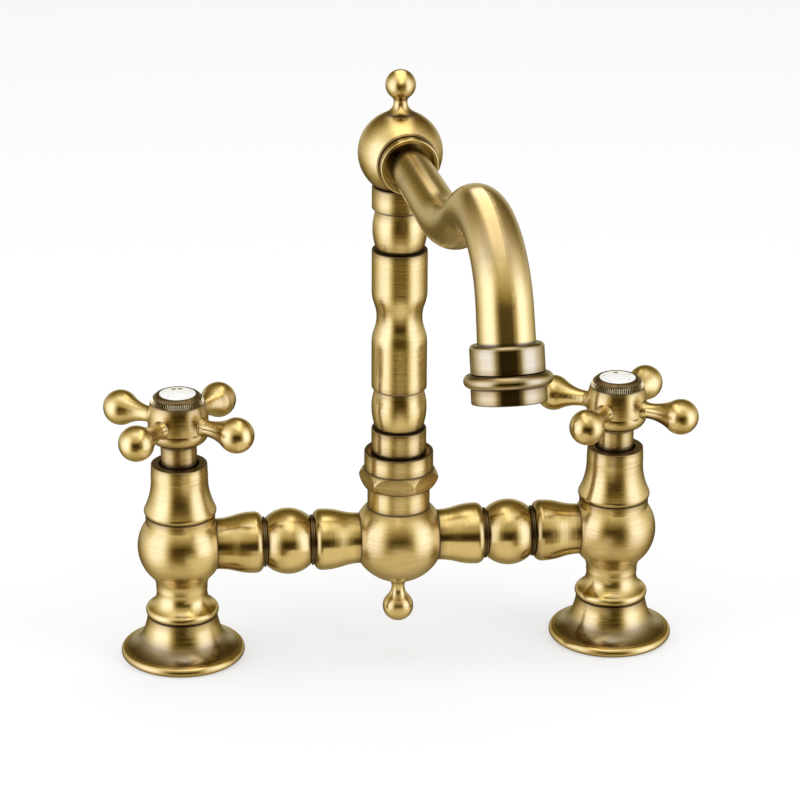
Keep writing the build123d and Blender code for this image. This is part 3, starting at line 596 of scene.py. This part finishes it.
# ---- head collar, spout and outlet, in the plane the spout lies in
spoutLook = {
    "heading": 7.0,             # degrees to the right of the front
    "headHeight": 237.81,
    "droop": 5.2,
    "bend": 67.02,              # out from the column, in mm; points also say how far up from the head
    "crest": (116.04, 8.33),
    "crestTurn": 38.0,          # how far the tube climbs there, in degrees
    "drop": (174.58, -11.32),
    "mouth": (184.14, -47.26),
    "riseCentre": (73.31, 63.01),
    "riseRadius": 69.4,
    "crownCentre": (138.82, -20.83),
    "crownRadius": 37.0,
    "fall": 75.1,
    "brushCoarse": 60.0,
    "lineFine": 1300.0,         # how close the tube's brushed lines are
    "lineCoarse": 26.0,
    "lineLean": 0.6,
    "headSeam": (18.2, 22.8, 0.9),     # from here to here in mm, and how dark
    "mouthSeam": (23.6, 25.0, 0.85),
    "mouthEnd": 30.0,
    "underside": (-10.5, -3.0),
}
spoutTurn = math.radians(spoutLook["heading"])
spoutWay = Vector((math.sin(spoutTurn), -math.cos(spoutTurn), 0))
spoutSide = Vector((0, 0, 1)).cross(spoutWay)


def spoutPoint(point):
    return spoutWay * point[0] * mm + Vector((0, 0, (spoutLook["headHeight"] + point[1]) * mm))


def spoutHeading(degrees):
    # direction in the spout's plane that climbs by this many degrees
    turn = math.radians(degrees)
    return spoutWay * math.cos(turn) + Vector((0, 0, math.sin(turn)))


headUp = spoutHeading(-spoutLook["droop"])
outletUp = spoutHeading(180 - spoutLook["fall"])
headBrush = brushRound(headUp, spoutPoint((0, 0)), spoutLook["brushCoarse"])
dress(["spout_collar"], turnedBrass("spoutCollarBrass", headBrush,
                                    [(11.4, 0.7, 0.85), (14.35, 0.8, 0.95)]))

outletBrush = brushRound(outletUp, spoutPoint(spoutLook["mouth"]), spoutLook["brushCoarse"])
outletChanges = {"patinaShare": 0.46, "tone": "grey", "roughness": 0.08, "hairDepth": 0.00001}
outletSeams = {
    "outlet_collar": [(11.9, 0.8, 0.9), (23.5, 0.8, 0.7)],
    "outlet_ring": [(6.5, 0.9, 0.85), (11.9, 0.9, 0.85)],
    "aerator_housing": [(0.0, 0.8, 0.8), (6.5, 0.9, 0.9)],
}
for part, seams in outletSeams.items():
    dress([part], turnedBrass(brassName(part), outletBrush, seams, **outletChanges))


def spoutLines(sheet, place):
    # the tube is brushed along its length: lines follow the distance from its centre line
    local = sheet.vector("SUBTRACT", place, (0, 0, spoutLook["headHeight"] * mm))
    out = sheet.dot(local, spoutWay)
    up = sheet.dot(local, (0, 0, 1))
    aside = sheet.dot(local, spoutSide)

    def runOffset(point, degrees):
        # height above a straight run that passes this point and climbs by this many degrees
        turn = math.radians(degrees)
        return (up - point[1] * mm) * math.cos(turn) - (out - point[0] * mm) * math.sin(turn)

    def bendOffset(centre, radius, sign):
        # distance from a round bend, counted outwards or inwards
        level, rise = out - centre[0] * mm, up - centre[1] * mm
        return (sheet.maths("SQRT", level * level + rise * rise) - radius * mm) * sign

    def past(point, degrees):
        # 1 beyond this point, looking in the direction that climbs by this many degrees
        turn = math.radians(degrees)
        return sheet.maths("GREATER_THAN", (out - point[0] * mm) * math.cos(turn)
                           + (up - point[1] * mm) * math.sin(turn), 0.0)

    def pick(mask, first, second):
        return first + (second - first) * mask

    first = runOffset((0, 0), -spoutLook["droop"])
    rise = bendOffset(spoutLook["riseCentre"], spoutLook["riseRadius"], -1)
    crown = bendOffset(spoutLook["crownCentre"], spoutLook["crownRadius"], 1)
    last = runOffset(spoutLook["drop"], -spoutLook["fall"])
    pastBend = sheet.maths("GREATER_THAN", out - up * math.tan(math.radians(spoutLook["droop"])),
                           spoutLook["bend"] * mm)
    pastCrest = past(spoutLook["crest"], spoutLook["crestTurn"])
    pastDrop = past(spoutLook["drop"], -spoutLook["fall"])
    offset = pick(pastBend, first, pick(pastCrest, rise, pick(pastDrop, crown, last)))
    fine = spoutLook["lineFine"]
    stretched = sheet.point(aside * fine, offset * fine,
                            (out - up * spoutLook["lineLean"]) * spoutLook["lineCoarse"])
    # seams: where the tube leaves the collar's cup and where the outlet collar ends
    fromMouth = sheet.dot(sheet.vector("SUBTRACT", place, spoutPoint(spoutLook["mouth"])), outletUp)
    nearMouth = sheet.maths("LESS_THAN", fromMouth, spoutLook["mouthEnd"] * mm)
    fromHead = sheet.dot(sheet.vector("SUBTRACT", place, spoutPoint((0, 0))), headUp)

    def darkLine(distance, start, end, strength):
        return sheet.fade(distance, start * mm, end * mm, strength, 0.0)

    seams = sheet.maths("MAXIMUM", darkLine(fromHead, *spoutLook["headSeam"]),
                        darkLine(fromMouth, *spoutLook["mouthSeam"]) * nearMouth * pastDrop)
    return stretched, seams, darkLine(offset, *spoutLook["underside"], 1.0)


spoutBrassLook = {
    "patina": (0.36, 0.25, 0.105),
    "patinaShare": 0.43,
    "cloudScale": 30.0,
    "wornMix": (0.82, 0.18, 0.06),   # clouds and lines, and how much the underside takes away
    "wornFade": (0.16, 0.14),
    "paleFade": (0.52, 0.75),
    "paleShare": 0.25,
    "roughness": 0.20,
    "rougher": (0.08, 0.04),
    "hairScale": (1.0, 1.0, 1.0),
    "hairDepth": 0.000004,
    "coat": 0.85,
}


def makeSpoutBrass(look):
    material, sheet, shader, place = finishStart("spoutTubeBrass", {
        "Metallic": 1.0, "Coat Weight": look["coat"], "Coat Roughness": 0.2, "Coat IOR": 1.6})
    stretched, seams, under = spoutLines(sheet, place)
    cloud = sheet.noise(place, look["cloudScale"], 3.0, 0.55, 0.5)
    lines = sheet.noise(stretched, 1.0, 3.0, 0.6)
    cloudPart, linePart, underPart = look["wornMix"]
    below, above = look["wornFade"]
    # the tube is darker towards its underside
    worn = sheet.fade(cloud * cloudPart + lines * linePart - under * underPart, look["patinaShare"] - below,
                      look["patinaShare"] + above)
    colour = sheet.blend(worn, look["patina"], brassTones["brass"])
    pale = sheet.fade(lines, *look["paleFade"]) * worn * look["paleShare"]
    colour = sheet.blend(pale, colour, brassTones["pale"])
    colour = sheet.blend(seams, colour, brassTones["seam"])
    sheet.feed(shader.inputs["Base Color"], colour)
    patinaRough, lineRough = look["rougher"]
    sheet.feed(shader.inputs["Roughness"],
               look["roughness"] + (1 - worn) * patinaRough + lines * lineRough)
    sheet.feed(shader.inputs["Normal"], hairlines(sheet, stretched, look))
    return material


dress(["spout_tube"], makeSpoutBrass(spoutBrassLook))
print("brass pieces finished")


# ---- index rings and porcelain discs
ringLook = {
    # near black: painted shade in the knurl's grooves, and the colour the grime darkens towards
    "grooveShadeAndGrime": (0.008, 0.005, 0.002),
    "ridge": (0.74, 0.58, 0.27),
    "top": (0.155, 0.100, 0.036),
    "foot": 124.6,              # height of the knurled band's lower edge, in mm
    "narrows": 0.9 / 2.2,       # mm of radius lost for each mm of height
    "ridgeFade": (11.84, 12.0),
    "topFade": (126.7, 127.0),
    "grimeScale": 420.0,
    "grimeFade": (0.45, 0.65),
    "grimeShare": 0.30,
    "roughness": (0.28, 0.18),  # where clean, and what grime adds
    "relief": (0.6, 0.00004),
}


def makeRingBronze(side, x, look):
    material, sheet, shader, place = finishStart(side + "RingBronze", {"Metallic": 1.0, "Coat Weight": 0.2,
                                                                      "Coat Roughness": 0.2})
    local, _, reach = sheet.aroundUpright(place, (x, 0, 0))
    height = sheet.dot(local, (0, 0, 1))
    # the knurled band narrows upwards, so its ridges lie on a cone
    cone = reach + (height - look["foot"] * mm) * look["narrows"]
    ridge = sheet.fade(cone, *(edge * mm for edge in look["ridgeFade"]))
    above = sheet.fade(height, *(edge * mm for edge in look["topFade"]))
    grime = sheet.noise(place, look["grimeScale"], 3.0)
    # the knurl's grooves are painted near black as shade
    colour = sheet.blend(ridge, look["grooveShadeAndGrime"], look["ridge"])
    colour = sheet.blend(above, colour, look["top"])
    colour = sheet.blend(sheet.fade(grime, *look["grimeFade"]) * look["grimeShare"], colour, look["grooveShadeAndGrime"])
    sheet.feed(shader.inputs["Base Color"], colour)
    clean, added = look["roughness"]
    sheet.feed(shader.inputs["Roughness"], clean + grime * added)
    sheet.feed(shader.inputs["Normal"], sheet.bump(*look["relief"], grime))
    return material


discLook = {"glaze": (0.86, 0.865, 0.85), "shade": (0.74, 0.745, 0.73), "mark": (0.10, 0.10, 0.105),
            "dots": {"hot": 2, "cold": 1},
            "markHeading": 90.0, "markReach": 4.9, "markSize": 1.25, "markStep": 17.0,
            "tickReach": 6.3, "tickSize": 0.34, "ticks": (20, 160, 225, 315),
            "markEdge": (0.12, 0.08),  # how far inside and outside its size a mark fades
            "cloudScale": 300.0, "cloudFade": (0.35, 0.7), "cloudShare": 0.35,
            "rimFade": (7.2, 8.2), "rimShare": 0.55,
            "roughness": (0.12, 0.1),  # where clear, and what clouds add
            "relief": (0.2, 0.00005)}


def makePorcelain(side, x, look):
    # white glaze with one or two small round marks towards the back and a few tiny ticks
    material, sheet, shader, place = finishStart(side + "Porcelain", {"IOR": 1.5, "Coat Weight": 0.6,
                                                                     "Coat Roughness": 0.05})
    _, flat, reach = sheet.aroundUpright(place, (x, 0, 0))
    cloud = sheet.noise(place, look["cloudScale"], 2.0)
    cloudy = sheet.fade(cloud, *look["cloudFade"]) * look["cloudShare"]
    colour = sheet.blend(cloudy, look["glaze"], look["shade"])
    rim = sheet.fade(reach, *(edge * mm for edge in look["rimFade"]))
    colour = sheet.blend(rim * look["rimShare"], colour, look["shade"])
    dots = look["dots"][side]
    spots = [(look["markHeading"] + look["markStep"] * (dot * 2 - (dots - 1)), look["markReach"],
              look["markSize"]) for dot in range(dots)]
    spots += [(heading, look["tickReach"], look["tickSize"]) for heading in look["ticks"]]
    for heading, out, size in spots:
        turn = math.radians(heading)
        middle = (out * mm * math.cos(turn), out * mm * math.sin(turn), 0)
        near = sheet.vector("DISTANCE", flat, middle, "Value")
        inside, outside = look["markEdge"]
        mark = sheet.fade(near, (size - inside) * mm, (size + outside) * mm, 1.0, 0.0)
        colour = sheet.blend(mark, colour, look["mark"])
    sheet.feed(shader.inputs["Base Color"], colour)
    clear, added = look["roughness"]
    sheet.feed(shader.inputs["Roughness"], clear + cloud * added)
    sheet.feed(shader.inputs["Normal"], sheet.bump(*look["relief"], cloud))
    return material


for side, x in sides.items():
    dress([side + "_index_ring"], makeRingBronze(side, x, ringLook))
    dress([side + "_index_disc"], makePorcelain(side, x, discLook))


# ---- plain materials of the inner pieces
plainMix = {"grain": 0.6, "cloud": 0.4, "cloudScale": 60.0, "fade": (0.35, 0.65), "rougher": 0.15,
            "bump": 0.8}


def plainFinish(name, look):
    # one colour broken up by a fine and a coarse noise, for pieces that are seldom seen
    material, sheet, shader, place = finishStart(name, look["constants"])
    stretched = sheet.node("ShaderNodeMapping", None, {"Vector": place, "Scale": look["grain"]})
    grain = sheet.noise(stretched, 1.0, 3.0, 0.6)
    cloud = sheet.noise(place, plainMix["cloudScale"], 2.0)
    mixed = grain * plainMix["grain"] + cloud * plainMix["cloud"]
    colour = sheet.blend(sheet.fade(mixed, *plainMix["fade"]), look["dark"], look["light"])
    sheet.feed(shader.inputs["Base Color"], colour)
    sheet.feed(shader.inputs["Roughness"], look["roughness"] + grain * plainMix["rougher"])
    sheet.feed(shader.inputs["Normal"], sheet.bump(plainMix["bump"], look["relief"], grain))
    return material


innerLooks = {
    "machinedBrass": {"constants": {"Metallic": 1.0}, "grain": (60, 60, 1600), "dark": (0.52, 0.37, 0.14),
                      "light": (0.72, 0.55, 0.25), "roughness": 0.24, "relief": 0.00003},
    "screwSteel": {"constants": {"Metallic": 1.0}, "grain": (300, 300, 1400), "dark": (0.42, 0.41, 0.40),
                   "light": (0.62, 0.61, 0.60), "roughness": 0.25, "relief": 0.00002},
    "sealRubber": {"constants": {"Specular IOR Level": 0.35}, "grain": (900, 900, 900),
                   "dark": (0.012, 0.012, 0.013), "light": (0.030, 0.030, 0.031), "roughness": 0.55,
                   "relief": 0.00006},
    "discCeramic": {"constants": {"Coat Weight": 0.2}, "grain": (700, 700, 700), "dark": (0.66, 0.66, 0.64),
                    "light": (0.80, 0.80, 0.78), "roughness": 0.22, "relief": 0.00002},
    "slipPlastic": {"constants": {}, "grain": (500, 500, 500), "dark": (0.62, 0.62, 0.60),
                    "light": (0.74, 0.74, 0.72), "roughness": 0.42, "relief": 0.00003},
    "aeratorPlastic": {"constants": {}, "grain": (600, 600, 600), "dark": (0.48, 0.49, 0.50),
                       "light": (0.60, 0.61, 0.62), "roughness": 0.40, "relief": 0.00003},
}
innerNodes = {
    "machinedBrass": ["hot_cartridge", "cold_cartridge", "hot_spindle", "cold_spindle", "column_tube"],
    "screwSteel": ["hot_handle_screw", "cold_handle_screw", "aerator_screen"],
    "sealRubber": ["hot_foot_seal", "cold_foot_seal", "hot_seat_seal", "cold_seat_seal", "swivel_orings",
                   "aerator_washer"],
    "discCeramic": ["hot_fixed_disc", "cold_fixed_disc", "hot_moving_disc", "cold_moving_disc"],
    "slipPlastic": ["swivel_washer"],
    "aeratorPlastic": ["aerator_insert"],
}
innerFinishes = {name: plainFinish(name, look) for name, look in innerLooks.items()}
for name, nodeNames in innerNodes.items():
    dress(nodeNames, innerFinishes[name])
print("inner pieces finished")


# ---- repeated details by geometry nodes: the inlet threads and the outlet's wire screen
def newTree(name, inputs):
    tree = bpy.data.node_groups.new(name, "GeometryNodeTree")
    sheet = NodeSheet(tree)
    for label, kind in inputs:
        tree.interface.new_socket(label, in_out="INPUT", socket_type=kind)
    tree.interface.new_socket("Geometry", in_out="OUTPUT", socket_type="NodeSocketGeometry")
    group = sheet.node("NodeGroupInput")
    return tree, sheet, lambda label: group.other(label)


def endTree(sheet, geometry, material):
    solid = sheet.node("GeometryNodeRealizeInstances", None, {"Geometry": geometry})
    painted = sheet.node("GeometryNodeSetMaterial", None, {"Geometry": solid, "Material": material})
    sheet.node("NodeGroupOutput", None, {"Geometry": painted})


def growMesh(name, tree, values):
    # runs the tree on an empty object and keeps the result as a plain mesh
    holder = meshObject(name, [], [])
    modifier = holder.modifiers.new("grow", "NODES")
    modifier.node_group = tree
    for item in tree.interface.items_tree:
        if item.in_out == "INPUT" and item.name in values:
            modifier[item.identifier] = values[item.name]
    shown = holder.evaluated_get(bpy.context.evaluated_depsgraph_get())
    mesh = bpy.data.meshes.new_from_object(shown)
    holder.modifiers.remove(modifier)
    holder.data = mesh
    return holder


threadLook = {"Turns": 6.5, "Pitch": 1.814 * mm, "Radius": 9.3 * mm, "Depth": 0.62 * mm, "Start": 1.0 * mm}
screenLook = {"Wires": 19, "Spacing": 1.22 * mm, "Wire": 0.17 * mm, "Radius": 12.0 * mm}
screenMesh = {"rodSides": 6, "hoopSteps": 64, "hoopSides": 8,
              "hoopWires": 2.0,        # the hoop's thickness and the upper rods' lift, in wire radii
              "lift": 1.5}
screenHeight = 1.75 * mm  # above the outlet's mouth


def threadTree(material):
    tree, sheet, value = newTree("inletThread", [("Turns", "NodeSocketFloat"), ("Pitch", "NodeSocketFloat"),
                                                 ("Radius", "NodeSocketFloat"), ("Depth", "NodeSocketFloat"),
                                                 ("Start", "NodeSocketFloat")])
    helix = sheet.node("GeometryNodeCurveSpiral", None, {
        "Resolution": 40, "Rotations": value("Turns"), "Start Radius": value("Radius"),
        "End Radius": value("Radius"), "Height": value("Turns") * value("Pitch")})
    upHelix = sheet.node("GeometryNodeSetCurveNormal", {"mode": "Z_UP"}, {"Curve": helix})
    ridge = sheet.node("GeometryNodeCurvePrimitiveCircle", None, {"Resolution": 4, "Radius": value("Depth")})
    swept = sheet.node("GeometryNodeCurveToMesh", None, {"Curve": upHelix, "Profile Curve": ridge,
                                                         "Fill Caps": True})
    lifted = sheet.node("GeometryNodeTransform", None, {
        "Geometry": swept,
        "Translation": sheet.point(z=value("Start"))})
    endTree(sheet, lifted, material)
    return tree


def screenTree(material):
    tree, sheet, value = newTree("outletScreen", [("Wires", "NodeSocketInt"), ("Spacing", "NodeSocketFloat"),
                                                  ("Wire", "NodeSocketFloat"), ("Radius", "NodeSocketFloat")])
    half = (value("Wires") - 1) * value("Spacing") * 0.5
    line = sheet.node("GeometryNodeMeshLine", None, {
        "Count": value("Wires"),
        "Start Location": sheet.point(y=half * -1.0),
        "Offset": sheet.point(y=value("Spacing"))})
    position = sheet.node("GeometryNodeInputPosition")
    across = sheet.node("ShaderNodeSeparateXYZ", None, {0: position}).other("Y")
    square = value("Radius") * value("Radius") - across * across
    reach = sheet.maths("SQRT", sheet.maths("MAXIMUM", square, 0.0))
    rod = sheet.node("GeometryNodeMeshCylinder", None, {
        "Vertices": screenMesh["rodSides"], "Radius": value("Wire"), "Depth": 1.0})
    rods = sheet.node("GeometryNodeInstanceOnPoints", None, {
        "Points": line, "Instance": rod, "Rotation": (0, math.pi / 2, 0),
        "Scale": sheet.point(1.0, 1.0, reach * 2.0)})
    crossed = sheet.node("GeometryNodeTransform", None, {
        "Geometry": rods, "Rotation": (0, 0, math.pi / 2),
        "Translation": sheet.point(z=value("Wire") * screenMesh["lift"])})

    def circle(steps, radius):
        return sheet.node("GeometryNodeCurvePrimitiveCircle", None, {"Resolution": steps, "Radius": radius})

    hoop = sheet.node("GeometryNodeCurveToMesh", None, {
        "Curve": circle(screenMesh["hoopSteps"], value("Radius")),
        "Profile Curve": circle(screenMesh["hoopSides"], value("Wire") * screenMesh["hoopWires"])})
    joined = sheet.node("GeometryNodeJoinGeometry")
    for part in (hoop, crossed, rods):
        sheet.tree.links.new(part.socket, joined.socket.node.inputs[0])
    endTree(sheet, joined, material)
    return tree


threads = threadTree(innerFinishes["machinedBrass"])
for side, x in sides.items():
    thread = growMesh(side + "_inlet_thread", threads, threadLook)
    thread.data.transform(Matrix.Translation((x, 0, 0)))
    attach(thread, "base")

screen = growMesh("outlet_wire_screen", screenTree(innerFinishes["screwSteel"]), screenLook)
outletTurn = Matrix((spoutSide, outletUp.cross(spoutSide), outletUp)).transposed().to_4x4()
screenPlace = spoutPoint(spoutLook["mouth"]) + outletUp * screenHeight
screen.data.transform(Matrix.Translation(screenPlace) @ outletTurn)
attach(screen, "spout")
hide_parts("aerator_screen")
print("threads and screen grown")
